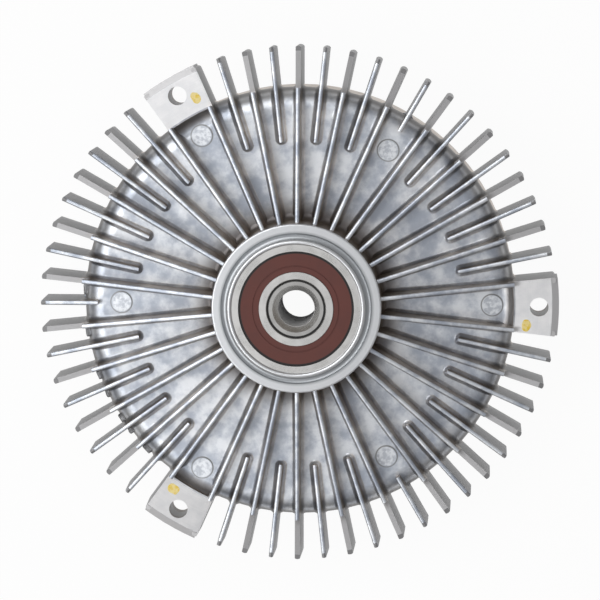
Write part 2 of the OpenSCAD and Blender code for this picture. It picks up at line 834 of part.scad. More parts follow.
module drive_shaft() {
    counterbore_z = shaft_front_z + bolt_head_depth;
    countersink_r = shaft_countersink_d / 2;
    countersink_z = shaft_end_z - (countersink_r - shaft_bore_r);
    // Chamfer of the shaft's rear end
    end_chamfer = 0.4;
    bolt_head_r = bolt_head_d / 2;
    color("gray")
        rotate_extrude()
            polygon([[bolt_head_r, shaft_front_z], [seal_journal_r, shaft_front_z], [seal_journal_r, rotor_z],
                [rotor_seat_r, rotor_z], [rotor_seat_r, rotor_boss_z], [flange_r, rotor_boss_z],
                [flange_r, bearing_z - neck_l], [neck_r, bearing_z - neck_l], [neck_r, bearing_z],
                [journal_r, bearing_z], [journal_r, shaft_end_z - end_chamfer],
                [journal_r - end_chamfer, shaft_end_z], [countersink_r, shaft_end_z],
                [shaft_bore_r, countersink_z], [shaft_bore_r, counterbore_z], [bolt_head_r, counterbore_z]]);
}

module rotor() {
    bore_r = rotor_seat_r + press_gap;
    color("lightgray")
        difference() {
            union() {
                ring(bore_r, rotor_r, rotor_z, rotor_t);
                ring(bore_r, rotor_boss_r, rotor_z, rotor_boss_z - rotor_z);
                for (i = [0 : rib_count - 1]) {
                    r = rib_r + i * rib_pitch;
                    ring(r - rib_t / 2, r + rib_t / 2, rotor_top_z - sink, rib_h + sink);
                }
            }
            round_axis(rotor_hole_count)
                translate([rotor_hole_r, 0, rotor_z - cut])
                    cylinder(h = rotor_t + 2 * cut, d = rotor_hole_d);
        }
}

module separator_plate() {
    return_r = ledge_r - ledge_w - return_hole_d;
    // The dam that turns the fluid into the return hole
    dam = [3, 8, 0.8];
    // Angle of the return hole
    return_angle = 200;
    color("darkgray")
        difference() {
            union() {
                ring(seal_journal_r + plate_shaft_gap, plate_r, plate_z, plate_t);
                rotate(return_angle)
                    translate([return_r - dam[1] / 2, return_hole_d / 2 + dam[0] / 2, plate_z])
                        cube([dam[1], dam[0], plate_t + dam[2]]);
            }
            rotate(return_angle)
                translate([return_r, 0, plate_z - cut])
                    cylinder(h = plate_t + 2 * cut, d = return_hole_d);
            translate([-port_x - port_w / 2, -strip_offset - port_l / 2, plate_z - cut])
                cube([port_w, port_l, plate_t + 2 * cut]);
            translate([lever_rivet_x, -strip_offset, plate_z - cut])
                cylinder(h = plate_t + 2 * cut, d = rivet_d + 2 * seat_gap);
            round_axis(plate_rivet_count)
                translate([ledge_mid_r, 0, plate_z - cut])
                    cylinder(h = plate_t + 2 * cut, d = rivet_d + 2 * seat_gap);
        }
}

module plate_rivets() {
    color("dimgray")
        round_axis(plate_rivet_count)
            translate([ledge_mid_r, 0, plate_z - plate_rivet_l]) {
                cylinder(h = plate_rivet_l + plate_t + rivet_head_h, d = rivet_d);
                translate([0, 0, plate_rivet_l + plate_t + seat_gap])
                    cylinder(h = rivet_head_h - seat_gap, d1 = rivet_head_d, d2 = rivet_d + rivet_head_h);
            }
}

// Plan of the valve lever: a strip with round ends
module lever_plan() {
    far_x = -port_x - port_w / 2 - lever_tail + lever_w / 2;
    for (x = [far_x, lever_rivet_x])
        translate([x, 0])
            circle(d = lever_w);
    translate([far_x, -lever_w / 2])
        square([lever_rivet_x - far_x, lever_w]);
}

module valve_lever() {
    color("goldenrod")
        translate([0, -strip_offset, lever_z])
            linear_extrude(lever_t - seat_gap)
                difference() {
                    lever_plan();
                    translate([lever_rivet_x, 0])
                        circle(d = rivet_d + 2 * seat_gap);
                }
}

module lever_rivet() {
    front_z = lever_z - rivet_head_h;
    back_z = plate_z + plate_t;
    color("dimgray")
        translate([lever_rivet_x, -strip_offset, 0]) {
            translate([0, 0, front_z])
                cylinder(h = back_z + rivet_head_h - front_z, d = rivet_d);
            translate([0, 0, front_z])
                cylinder(h = rivet_head_h - seat_gap, d = rivet_head_d);
            translate([0, 0, back_z + seat_gap])
                cylinder(h = rivet_head_h - seat_gap, d = rivet_head_d);
        }
}

module control_pin() {
    start_z = strip_z + strip_t + seat_gap;
    end_z = lever_z - seat_gap;
    // Length of the tapered ends
    taper = 0.6;
    r = pin_d / 2;
    color("lightsteelblue")
        translate([0, -strip_offset, 0])
            rotate_extrude()
                polygon([[0, start_z], [r - taper, start_z], [r, start_z + taper], [r, end_z - taper],
                    [r - taper, end_z], [0, end_z]]);
}

module control_pin_seal() {
    color("black")
        translate([0, -strip_offset, cover_fin_h + cover_t / 2])
            rotate_extrude()
                translate([pin_d / 2 + running_gap + pin_seal_d / 2, 0])
                    circle(d = pin_seal_d);
}

module bimetal_strip() {
    color("peru")
        translate([-strip_l / 2, -strip_offset - strip_w / 2, strip_z])
            cube([strip_l, strip_w, strip_t]);
}

module shaft_seal_case() {
    outer_r = seal_seat_r - press_gap;
    color("slategray")
        union() {
            ring(outer_r - shaft_seal_case_t, outer_r, seal_front_z, shaft_seal_l);
            ring(seal_journal_r + shaft_seal_h / 2, outer_r, seal_front_z, shaft_seal_case_t);
        }
}

// Radius and height of the garter spring's wire, over the sealing edge
garter_rise = 2.2;
garter_share = 0.68;
garter_place = [seal_journal_r + running_gap + garter_rise, seal_front_z + shaft_seal_l * garter_share];

module shaft_seal_lip() {
    place = garter_place;
    base_z = seal_front_z + shaft_seal_case_t + seat_gap;
    base_r = seal_seat_r - press_gap - shaft_seal_case_t - seat_gap;
    edge_r = seal_journal_r + running_gap;
    // Thickness of the lip's foot and wall, relief behind its edge, and half width of its edge
    wall = 1.2;
    relief = 0.8;
    land = 0.1;
    color("black")
        rotate_extrude()
            difference() {
                polygon([[base_r, base_z], [base_r, base_z + wall], [place[0], base_z + wall],
                    [place[0], seal_back_z - wall / 2], [edge_r + wall / 2, seal_back_z - wall / 2],
                    [edge_r, place[1] + land], [edge_r, place[1] - land], [edge_r + relief, base_z]]);
                translate(place)
                    circle(garter_d / 2 + seat_gap);
            }
}

module shaft_seal_spring() {
    color("silver")
        rotate_extrude()
            translate(garter_place)
                circle(d = garter_d);
}

rear_housing();
front_cover();
cover_seal_ring();
bearing_outer_ring();
bearing_inner_ring();
bearing_balls();
bearing_cage();
bearing_rear_seal();
bearing_front_seal();
drive_shaft();
rotor();
separator_plate();
plate_rivets();
valve_lever();
lever_rivet();
control_pin();
control_pin_seal();
bimetal_strip();
shaft_seal_case();
shaft_seal_lip();
shaft_seal_spring();
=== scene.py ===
# %% [markdown]
# # Dressing a viscous fan clutch
# The clutch arrives as a set of exact solids: two finned castings, a ball bearing, a hollow shaft and the
# small works inside. This lesson gives each piece the finish that it has on the bench, adds the few pieces
# that only the eye needs, and then sets the floor, the light and the camera.

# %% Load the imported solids
import json
import math

import bpy
from mathutils import Matrix, Vector


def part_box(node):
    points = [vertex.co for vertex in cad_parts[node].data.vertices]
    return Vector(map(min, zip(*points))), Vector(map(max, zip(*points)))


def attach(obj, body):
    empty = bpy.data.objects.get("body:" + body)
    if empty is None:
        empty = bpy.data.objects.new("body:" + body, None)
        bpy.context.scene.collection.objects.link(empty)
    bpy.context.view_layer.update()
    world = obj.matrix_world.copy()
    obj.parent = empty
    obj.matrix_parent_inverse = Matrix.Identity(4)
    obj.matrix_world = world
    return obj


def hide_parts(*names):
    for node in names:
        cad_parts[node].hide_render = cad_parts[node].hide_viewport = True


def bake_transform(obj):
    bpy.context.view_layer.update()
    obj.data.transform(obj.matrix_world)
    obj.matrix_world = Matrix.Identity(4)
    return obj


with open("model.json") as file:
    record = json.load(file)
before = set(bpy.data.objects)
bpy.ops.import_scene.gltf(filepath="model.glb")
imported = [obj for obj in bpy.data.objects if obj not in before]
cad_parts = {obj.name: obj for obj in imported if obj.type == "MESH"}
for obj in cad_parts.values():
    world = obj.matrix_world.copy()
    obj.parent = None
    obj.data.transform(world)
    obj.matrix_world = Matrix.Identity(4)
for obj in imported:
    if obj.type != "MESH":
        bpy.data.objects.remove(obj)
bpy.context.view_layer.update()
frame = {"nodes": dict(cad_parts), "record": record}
nodes = frame["nodes"]
scene = bpy.context.scene
scene.view_settings.view_transform = "Standard"

# %% [markdown]
# Everything that is placed later is measured from the solids, so a change of size in the model carries
# over. The bolt pattern of the fan gives the plane of the lugs, and the bearing gives the hub. Three sizes of
# the casting that no mount gives are written down here, as real sizes.

# %% Measure the solids
MM = 0.001
RIM_INSIDE_HOLES = 8.5 * MM
HUB_WALL = 6.3 * MM
CAST_FLOOR_DEPTH = 4.7 * MM

mounts = {mount["name"]: mount for mount in frame["record"]["mounts"]}
lug_z = mounts["fan_bolts"]["pos_m"][2]
lug_hole_r = mounts["fan_bolts"]["dims"]["pcd_mm"] / 2 * MM
bearing_high = Vector(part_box("bearing_outer_ring")[1])
bearing_r = bearing_high.x
bearing_top = bearing_high.z
rim_r = lug_hole_r - RIM_INSIDE_HOLES
hub_r = bearing_r + HUB_WALL
cast_floor_z = lug_z - CAST_FLOOR_DEPTH
print("lug plane %.4f, rim radius %.4f, bearing radius %.4f" % (lug_z, rim_r, bearing_r))

# %% [markdown]
# ## Camera
# The photograph looks down on the bearing side from a long way off, a little from the right and from above.
# A long lens at that distance keeps the fins nearly parallel. The camera could be pushed about by hand until
# the picture fits, but three angles, a distance and a point to aim at say the same and can be read. The
# point is just off the axis, which puts the clutch where the picture has it.

# %% Place the camera
IMAGE_SIDE_PX = 600
FOCAL_PX = 3254.5
SENSOR_MM = 36.0
VIEW_DISTANCE = 1.149
AIM_OFF_AXIS = Vector((0.78, 1.79, 0)) * MM
view_right, view_up, view_roll = math.radians(3.13), math.radians(7.01), math.radians(-0.11)
pivot = Vector((0, 0, lug_z))
aim = pivot + AIM_OFF_AXIS

towards = Vector((math.sin(view_right), math.sin(view_up), 0))
towards.z = math.sqrt(1 - towards.length_squared)
eye = pivot + towards * VIEW_DISTANCE
back = (eye - aim).normalized()
right = Vector((math.sin(view_roll), math.cos(view_roll), 0)).cross(back).normalized()
turn = Matrix((right, back.cross(right), back)).transposed().to_4x4()

lens = bpy.data.cameras.new("camera")
lens.sensor_width = SENSOR_MM
lens.lens = FOCAL_PX * SENSOR_MM / IMAGE_SIDE_PX
camera = bpy.data.objects.new("camera", lens)
camera.matrix_world = Matrix.Translation(eye) @ turn
scene.collection.objects.link(camera)
scene.camera = camera
print("camera at", tuple(round(v, 3) for v in eye), "lens %.1f mm" % lens.lens)

# %% [markdown]
# ## Helpers for the finishes
# A finish is a small graph of shader nodes. It could be wired in the node editor, one link at a time. These
# helpers add a node, set its values and wire it in one line instead, so that each finish below reads like a
# recipe.

# %% Node helpers
def add_node(tree, kind, inputs=None, **settings):
    """Adds a shader node. Inputs are values or the sockets that feed them."""
    made = tree.nodes.new("ShaderNode" + kind)
    for name, value in settings.items():
        setattr(made, name, value)
    for key, value in (inputs or {}).items():
        if isinstance(value, bpy.types.NodeSocket):
            tree.links.new(value, made.inputs[key])
        else:
            made.inputs[key].default_value = value
    return made


def feed(tree, shader, **sockets):
    """Wires sockets or sets values on a shader, by input name with _ for a space."""
    for key, value in sockets.items():
        socket = shader.inputs[key.replace("_", " ")]
        if isinstance(value, bpy.types.NodeSocket):
            tree.links.new(value, socket)
        else:
            socket.default_value = value


def new_finish(name):
    """A new material, its node tree, its main shader, and the place of a point on the piece."""
    finish = bpy.data.materials.new(name)
    finish.use_nodes = True
    tree = finish.node_tree
    shader = tree.nodes["Principled BSDF"]
    place = add_node(tree, "TexCoord").outputs["Object"]
    return finish, tree, shader, place


def calculate(tree, operation, first, second=0.0):
    return add_node(tree, "Math", {0: first, 1: second}, operation=operation).outputs[0]


print("node helpers ready")

# %% [markdown]
# Colours are mixed by a factor between 0 and 1. A stain lays one more tone over a surface, where a mask lets
# it through. Noise gives the grain of a surface, and a bump turns any grain into small dents.

# %% Colour and grain helpers
def colour(red, green, blue):
    """A colour as a socket takes it, with full cover."""
    return (red, green, blue, 1.0)


def mix_colour(tree, factor, first, second):
    mixer = add_node(tree, "Mix", {0: factor, 6: first, 7: second}, data_type="RGBA")
    return mixer.outputs[2]


def mix_value(tree, factor, first, second):
    mixer = add_node(tree, "Mix", {0: factor, 2: first, 3: second}, data_type="FLOAT")
    return mixer.outputs[0]


def tones(tree, factor, dark, light):
    """A colour between a dark and a light one."""
    return mix_colour(tree, factor, colour(*dark), colour(*light))


def stain(tree, surface, mask, tone, share=1.0):
    """Lays a share of a tone over the surface where the mask is 1."""
    cover = calculate(tree, "MULTIPLY", mask, share)
    return mix_colour(tree, cover, surface, colour(*tone))


def grain(tree, place, scale, detail=3.0, roughness=0.55):
    inputs = {"Vector": place, "Scale": scale, "Detail": detail, "Roughness": roughness}
    return add_node(tree, "TexNoise", inputs).outputs[0]


def dent(tree, height, distance, strength=1.0, under=None):
    inputs = {"Height": height, "Distance": distance, "Strength": strength}
    if under is not None:
        inputs["Normal"] = under
    return add_node(tree, "Bump", inputs).outputs[0]


print("colour and grain helpers ready")

# %% [markdown]
# The clutch is round, so most finishes ask how far a point is from the axis, how high it lies and which way
# it faces. All three come from the Object coordinates and the normal, which move with the piece.

# %% Place helpers
def flat_place(tree, place):
    """The place with its height left out."""
    return add_node(tree, "VectorMath", {0: place, 1: (1, 1, 0)}, operation="MULTIPLY").outputs[0]


def radius_of(tree, place):
    """Distance from the clutch axis."""
    inputs = {0: flat_place(tree, place)}
    return add_node(tree, "VectorMath", inputs, operation="LENGTH").outputs["Value"]


def height_of(tree, place):
    return add_node(tree, "SeparateXYZ", {0: place}).outputs["Z"]


def upwards(tree, normal=None):
    """1 on a face that looks along the axis to the rear, 0 on an upright wall."""
    facing = normal or add_node(tree, "TexCoord").outputs["Normal"]
    return add_node(tree, "SeparateXYZ", {0: facing}).outputs["Z"]


print("place helpers ready")

# %% [markdown]
# A mask is 1 where such a value is past a limit and 0 elsewhere. It changes over a soft edge, because dirt
# and tool marks on metal have no hard outlines, and because a hard one would look jagged.

# %% Mask helpers
def step_mask(tree, value, low, high):
    """0 at low, 1 at high, and smooth between them."""
    inputs = {"Value": value, "From Min": low, "From Max": high}
    return add_node(tree, "MapRange", inputs, interpolation_type="SMOOTHSTEP").outputs[0]


def past(tree, value, limit, soft):
    """1 past the limit and 0 before it."""
    return step_mask(tree, value, limit - soft, limit + soft)


def short_of(tree, value, limit, soft):
    """1 before the limit and 0 past it."""
    return step_mask(tree, value, limit + soft, limit - soft)


def where_both(tree, first, second):
    """1 where both masks are 1."""
    return calculate(tree, "MULTIPLY", first, second)


def band(tree, value, low, high, soft):
    """1 between low and high."""
    return where_both(tree, past(tree, value, low, soft), short_of(tree, value, high, soft))


print("mask helpers ready")

# %% [markdown]
# ## Cast aluminium
# The housing is one pressure die casting. Its skin is a cool grey with cloudy patches where the metal
# chilled first. The drafted fin sides are painted darker and warmer than the floor between them, as painted
# shade and a painted warm reflection, chosen by which way a face looks. The hub and the lug faces were turned
# on a lathe. All this could be painted on an image, which would have to be fitted to every fin. Masks from
# height, radius and facing need no fitting and follow a change of size. The first ones say where the tool
# has been.

# %% Masks for the turned faces
BEVEL_PAST_HOLES = 4.6 * MM
LUG_FACE_DEPTH = 0.4 * MM
LUG_FACE_START = 0.2 * MM
HUB_FACE_DEPTH = 2.5 * MM
CRISP = 0.1 * MM
VERY_CRISP = 0.05 * MM
bevel_r = lug_hole_r + BEVEL_PAST_HOLES


def lug_face_mask(tree, place, radius):
    """1 on the lug faces and on the flat edges of the overhanging fins."""
    bare_facing = add_node(tree, "NewGeometry").outputs["True Normal"]
    level = step_mask(tree, upwards(tree, bare_facing), low=0.97, high=0.99)
    high = past(tree, height_of(tree, place), lug_z - LUG_FACE_DEPTH, VERY_CRISP)
    outside = band(tree, radius, rim_r + LUG_FACE_START, bevel_r, CRISP)
    return where_both(tree, where_both(tree, high, outside), level)


def hub_mask(tree, place, radius):
    """1 on the hub's turned rings."""
    inside = short_of(tree, radius, hub_r, CRISP)
    high = past(tree, height_of(tree, place), bearing_top - HUB_FACE_DEPTH, CRISP)
    return where_both(tree, inside, high)


print("turned faces: lugs out to radius %.4f, hub out to %.4f" % (bevel_r, hub_r))

# %% [markdown]
# Ejector pads are the round marks of the pins that pushed the casting out of its die, and a groove runs
# round the hub beside the bearing. Both are in the solids. The finish adds what is too fine to model: a dark
# line and a pitted face for each pad, and a soft hollow for the groove, drawn by a bump height.

# %% Ejector pads and the groove in the hub
PAD_R = 3.65 * MM
PAD_REACH_AT_LUG = 68.5 * MM
PAD_REACH_BETWEEN = 63.0 * MM
PAD_LINE_FROM, PAD_LINE_TO, PAD_LINE_SOFT = PAD_R - 0.05 * MM, PAD_R + 0.40 * MM, 0.15 * MM
PAD_FACE_SOFT = 0.25 * MM
PAD_DIP, PAD_DIP_SOFT = 0.65 * MM, 0.15 * MM
GROOVE_DEPTH = 0.35 * MM
groove_low, groove_high = bearing_r + 0.95 * MM, bearing_r + 3.0 * MM
pad_places = [(PAD_REACH_AT_LUG, degrees) for degrees in (0, 120, 240)]
pad_places += [(PAD_REACH_BETWEEN, degrees) for degrees in (60, 180, 300)]


def polar(reach, degrees, height):
    """A point at that distance from the axis, turned from +X towards +Y."""
    angle = math.radians(degrees)
    return Vector((reach * math.cos(angle), reach * math.sin(angle), height))


def pad_masks(tree, place):
    """The fine line round each ejector pad, and the pad's own face."""
    flat = flat_place(tree, place)
    line, face = 0.0, 0.0
    for reach, degrees in pad_places:
        inputs = {0: flat, 1: polar(reach, degrees, 0)}
        away = add_node(tree, "VectorMath", inputs, operation="DISTANCE").outputs["Value"]
        around = band(tree, away, PAD_LINE_FROM, PAD_LINE_TO, PAD_LINE_SOFT)
        within = short_of(tree, away, PAD_R - PAD_FACE_SOFT, PAD_FACE_SOFT)
        line = calculate(tree, "MAXIMUM", around, line)
        face = calculate(tree, "MAXIMUM", within, face)
    on_floor = past(tree, height_of(tree, place), cast_floor_z - PAD_DIP, PAD_DIP_SOFT)
    return where_both(tree, line, on_floor), where_both(tree, face, on_floor)


def groove_hollow(tree, radius):
    """Height of the hollow between the hub's flat face and the lip round the bearing, in metres."""
    middle = (groove_low + groove_high) / 2
    half = (groove_high - groove_low) / 2
    across = calculate(tree, "DIVIDE", calculate(tree, "SUBTRACT", radius, middle), half)
    bowl = calculate(tree, "MINIMUM", calculate(tree, "MULTIPLY", across, across), 1.0)
    return calculate(tree, "MULTIPLY", bowl, GROOVE_DEPTH)


print("ejector pads:", len(pad_places), "groove from %.4f to %.4f" % (groove_low, groove_high))

# %% [markdown]
# Painted shade is laid where fins stand close: round the hub, at the feet of the lugs and along the edge of
# the rim. Outside the rim the fin sides are painted a dark grey and the walls of the lug holes darker still.
# A bevel runs along the outer ends, and it is painted darker too; all of this is painted shade. The lugs
# stand every 120 degrees, so the angle about the axis is folded to and fro, which gives the angle from the
# nearest lug and serves all three at once.

# %% Masks for shade and grime
FIN_DEGREES = 6
HALF_LUG_DEGREES = 60
FIN_STEP = math.radians(FIN_DEGREES)
HOLE_SPAN, LUG_SPAN, SPAN_SOFT = FIN_STEP * 0.55, FIN_STEP * 0.9, FIN_STEP * 0.05
FIRST_FIN, FIRST_FIN_SOFT = FIN_STEP * 1.45, FIN_STEP * 0.15
RIM_WALL_START, RIM_WALL_SOFT = 0.75 * MM, 0.45 * MM
HOLE_REACH = 3.6 * MM
HUB_SHADE_MIDDLE = 5.0 * MM
HUB_SHADE_TOP, HUB_SHADE_SOFT = 0.5 * MM, 1.5 * MM
# Painted shade at the feet of the lugs lies between these radii.
LUG_SHADE_FROM, LUG_SHADE_TO, LUG_SHADE_SOFT = rim_r - 3.6 * MM, rim_r + 0.2 * MM, 0.9 * MM
EDGE_INSIDE_RIM, EDGE_SOFT = 1.4 * MM, 0.8 * MM
EDGE_FOOT, EDGE_TOP, EDGE_END_SOFT = lug_z - 11.5 * MM, lug_z - 2.5 * MM, 0.5 * MM


def angle_from_lug(tree, place):
    """Angle from the nearest lug, about the axis."""
    parts = add_node(tree, "SeparateXYZ", {0: place}).outputs
    angle = calculate(tree, "ARCTAN2", parts["Y"], parts["X"])
    return calculate(tree, "PINGPONG", angle, math.radians(HALF_LUG_DEGREES))


def casting_masks(tree, place, radius):
    """Where the cast skin changes its look, by name; most of these places get painted shade."""
    height = height_of(tree, place)
    facing = upwards(tree)
    from_lug = angle_from_lug(tree, place)
    hole_span = short_of(tree, from_lug, HOLE_SPAN, SPAN_SOFT)
    lug_span = short_of(tree, from_lug, LUG_SPAN, SPAN_SOFT)
    hole_ring = band(tree, radius, lug_hole_r - HOLE_REACH, lug_hole_r + HOLE_REACH, CRISP)
    lug_shade_ring = band(tree, radius, LUG_SHADE_FROM, LUG_SHADE_TO, LUG_SHADE_SOFT)
    hub_ring = short_of(tree, radius, hub_r + HUB_SHADE_MIDDLE, HUB_SHADE_MIDDLE)
    low_down = short_of(tree, height, lug_z + HUB_SHADE_TOP, HUB_SHADE_SOFT)
    edge_ring = past(tree, radius, rim_r - EDGE_INSIDE_RIM, EDGE_SOFT)
    edge_span = band(tree, height, EDGE_FOOT, EDGE_TOP, EDGE_END_SOFT)
    nearly_level = step_mask(tree, facing, low=0.85, high=0.90)
    # These masks place painted shade: by the hub, by the lugs, on the bevels, in the lug holes and on the
    # rim's edge.
    return {
        "level": step_mask(tree, calculate(tree, "ABSOLUTE", facing), low=0.15, high=0.88),
        "beyond_rim": past(tree, radius, rim_r + RIM_WALL_START, RIM_WALL_SOFT),
        "in_hole": where_both(tree, hole_span, hole_ring),
        "by_hub": where_both(tree, hub_ring, low_down),
        "by_lug": where_both(tree, lug_shade_ring, lug_span),
        "on_bevel": where_both(tree, past(tree, radius, bevel_r, VERY_CRISP), nearly_level),
        "on_edge": where_both(tree, edge_ring, edge_span),
        "on_fin": past(tree, from_lug, FIRST_FIN, FIRST_FIN_SOFT),
    }


# This prints where the painted shade by the hub ends and where the painted shade by the lugs starts.
print("shade by the hub out to %.4f, dust by the lugs from %.4f" % (hub_r + 2 * HUB_SHADE_MIDDLE, LUG_SHADE_FROM))

# %% [markdown]
# The greys of the casting are mixed by the cloudy pattern, and the masks lay painted shade over them.
# Floor, sides and hub each have a function of their own, because each has its own tones and its own painted
# shade. One long list of mixes would do the same, but nobody could tell which line darkens which face.

# %% Greys of the casting
FLOOR_GREYS = (0.42, 0.46, 0.53), (0.78, 0.81, 0.85)
# Painted shade and a painted warm reflection: the fin sides are a darker, warmer copy of the floor's metal.
SHADED_SIDE_GREYS = (0.37, 0.31, 0.26), (0.56, 0.50, 0.44)
# Painted shade: outside the rim the fin sides are a dark grey.
SHADED_OUTER_GREYS = (0.19, 0.19, 0.195), (0.29, 0.29, 0.295)
PAD_GREYS = (0.52, 0.55, 0.60), (0.78, 0.81, 0.85)
HUB_GREYS = (0.64, 0.66, 0.69), (0.80, 0.82, 0.84)
# Painted shade on the bevels of the lugs, and darker painted shade on the bevelled fin tips.
SHADED_BEVEL_GREYS = (0.53, 0.53, 0.54), (0.22, 0.22, 0.225)
PAD_LINE_GREY = (0.32, 0.33, 0.34)
# Painted shade in the hub's groove.
GROOVE_SHADE = (0.38, 0.40, 0.42)
# Painted shade on the walls of the lug holes.
HOLE_SHADE = (0.12, 0.095, 0.075)
# Painted shade round the hub, where the fins stand close.
HUB_SHADE = (0.13, 0.11, 0.10)
# Painted shade at the feet of the lugs.
LUG_FOOT_SHADE = (0.20, 0.17, 0.14)
GROOVE_SPREAD, GROOVE_SOFT = 0.5 * MM, 0.6 * MM


def floor_colour(tree, place, cloudy, masks):
    """The floor between the fins with its pads, painted shade by hub and lugs, and the bevelled outer ends in
    painted shade.
    """
    line, face = pad_masks(tree, place)
    pitted = step_mask(tree, grain(tree, place, scale=700.0, detail=2.0), low=0.36, high=0.64)
    surface = tones(tree, cloudy, *FLOOR_GREYS)
    surface = mix_colour(tree, face, surface, tones(tree, pitted, *PAD_GREYS))
    surface = stain(tree, surface, line, PAD_LINE_GREY)
    surface = stain(tree, surface, masks["by_hub"], HUB_SHADE, share=0.9)
    surface = stain(tree, surface, masks["by_lug"], LUG_FOOT_SHADE, share=0.55)
    return mix_colour(tree, masks["on_bevel"], surface, tones(tree, masks["on_fin"], *SHADED_BEVEL_GREYS))


def shaded_side_colour(tree, cloudy, masks):
    """The fin sides in painted shade: darker and warm within the rim, dark grey outside it, darker still on
    the walls of the lug holes.
    """
    outer = stain(tree, tones(tree, cloudy, *SHADED_OUTER_GREYS), masks["in_hole"], HOLE_SHADE)
    return mix_colour(tree, masks["beyond_rim"], tones(tree, cloudy, *SHADED_SIDE_GREYS), outer)


def hub_colour(tree, radius, lines):
    """The hub's turned rings, with painted shade in the groove."""
    shaded_groove = band(tree, radius, groove_low, groove_high + GROOVE_SPREAD, GROOVE_SOFT)
    return stain(tree, tones(tree, lines, *HUB_GREYS), shaded_groove, GROOVE_SHADE)


print("greys ready: floor", FLOOR_GREYS, "sides", SHADED_SIDE_GREYS)

# %% [markdown]
# The cast skin is bare metal with a fine speckle. On the outer walls, the bevels and the edge of the rim it
# is painted dark grey as painted shade and made less metallic. It could be made rougher there, but rough
# metal still mirrors a white floor at a low angle. Making it less metallic keeps it dark.

# %% Cast skin
EDGE_SHADE = (0.20, 0.20, 0.205)
SKIN_ROUGH = 0.33, 0.47
SHADE_ROUGH = 0.48
HUB_ROUGH = 0.34
OXIDE_METALLIC = 0.45


def dress_skin(tree, skin, place, radius, cloudy, blotches, lines, masks):
    """Sets the colour, the shine and the dents of the cast skin and the hub."""
    on_hub = hub_mask(tree, place, radius)
    speckle = grain(tree, place, scale=1500.0)
    floor_grey = floor_colour(tree, place, cloudy, masks)
    cast_grey = mix_colour(tree, masks["level"], shaded_side_colour(tree, cloudy, masks), floor_grey)
    # Painted shade: the outer edge of the rim is darkened towards a dark grey.
    cast_grey = stain(tree, cast_grey, masks["on_edge"], EDGE_SHADE, share=0.85)
    dull = calculate(tree, "SUBTRACT", masks["beyond_rim"], masks["level"])
    dull = calculate(tree, "MAXIMUM", dull, masks["on_bevel"])
    dull = calculate(tree, "MAXIMUM", dull, masks["on_edge"])
    cast_rough = mix_value(tree, masks["by_hub"], mix_value(tree, speckle, *SKIN_ROUGH), SHADE_ROUGH)
    dents = dent(tree, groove_hollow(tree, radius), distance=1.0, strength=on_hub)
    dents = dent(tree, blotches, distance=0.12 * MM, strength=0.5, under=dents)
    dents = dent(tree, speckle, distance=0.04 * MM, strength=0.5, under=dents)
    feed(tree, skin,
         Base_Color=mix_colour(tree, on_hub, cast_grey, hub_colour(tree, radius, lines)),
         Metallic=mix_value(tree, dull, 1.0, OXIDE_METALLIC),
         Roughness=mix_value(tree, on_hub, cast_rough, HUB_ROUGH),
         Normal=dent(tree, lines, distance=0.010 * MM, strength=on_hub, under=dents))


print("cast skin ready")

# %% [markdown]
# The lug faces and the flat edges of the fins were cut in one go while the casting turned. The fine rings
# spread a highlight across themselves, so each lug has a fan of light. An anisotropic shader with a tangent
# round the axis does just that, without any rings having to be modelled.

# %% Turned lug faces
LATHE_WANDER = 6.0
LUG_GREYS = (0.80, 0.81, 0.83), (0.93, 0.93, 0.94)
# Painted shade: the turned flat edges of the fins are a darker grey than the lug faces.
SHADED_FIN_EDGE_GREY = (0.48, 0.48, 0.49)
LINE_GREY = (0.62, 0.62, 0.63)
LUG_ROUGH = 0.40, 0.46


def turned_lines(tree, radius, pitch, place):
    """Fine uneven rings, as a lathe tool leaves them."""
    rings = add_node(tree, "CombineXYZ", {"X": calculate(tree, "DIVIDE", radius, pitch)}).outputs[0]
    wander = add_node(tree, "VectorMath", {0: place, "Scale": LATHE_WANDER}, operation="SCALE").outputs[0]
    summed = add_node(tree, "VectorMath", {0: rings, 1: wander}, operation="ADD").outputs[0]
    return grain(tree, summed, scale=1.0, detail=2.0, roughness=0.7)


def turned_face(tree, cloudy, lines, masks):
    turned = add_node(tree, "BsdfPrincipled")
    around = add_node(tree, "Tangent", direction_type="RADIAL", axis="Z").outputs[0]
    surface = stain(tree, tones(tree, cloudy, *LUG_GREYS), masks["on_fin"], SHADED_FIN_EDGE_GREY)
    feed(tree, turned,
         Base_Color=stain(tree, surface, lines, LINE_GREY, share=0.4),
         Metallic=0.85,
         Roughness=mix_value(tree, lines, *LUG_ROUGH),
         Anisotropic=0.95,
         Anisotropic_Rotation=0.25,
         Tangent=around,
         Normal=dent(tree, lines, distance=0.008 * MM, strength=0.15))
    return turned


print("turned faces ready")

# %% [markdown]
# The whole finish puts these together. Coarse and fine noise make the cloudy pattern, and the mask of the lug
# faces decides between the cast skin and the turned shader. One material serves both castings, so the two
# match wherever they meet.

# %% Cast and turned aluminium
LATHE_PITCH = 0.16 * MM
PATCH_SHARE = 0.4


def cast_aluminium(name):
    finish, tree, skin, place = new_finish(name)
    radius = radius_of(tree, place)
    lines = turned_lines(tree, radius, LATHE_PITCH, place)
    blotches = grain(tree, place, scale=170.0, detail=5.0, roughness=0.6)
    patches = grain(tree, place, scale=50.0)
    cloudy = step_mask(tree, mix_value(tree, PATCH_SHARE, blotches, patches), low=0.38, high=0.62)
    masks = casting_masks(tree, place, radius)
    dress_skin(tree, skin, place, radius, cloudy, blotches, lines, masks)
    turned = turned_face(tree, cloudy, lines, masks)
    on_lug = lug_face_mask(tree, place, radius)
    joined = add_node(tree, "MixShader", {0: on_lug, 1: skin.outputs[0], 2: turned.outputs[0]})
    tree.links.new(joined.outputs[0], tree.nodes["Material Output"].inputs["Surface"])
    return finish


cast_finish = cast_aluminium("cast aluminium")
print("finish:", cast_finish.name)

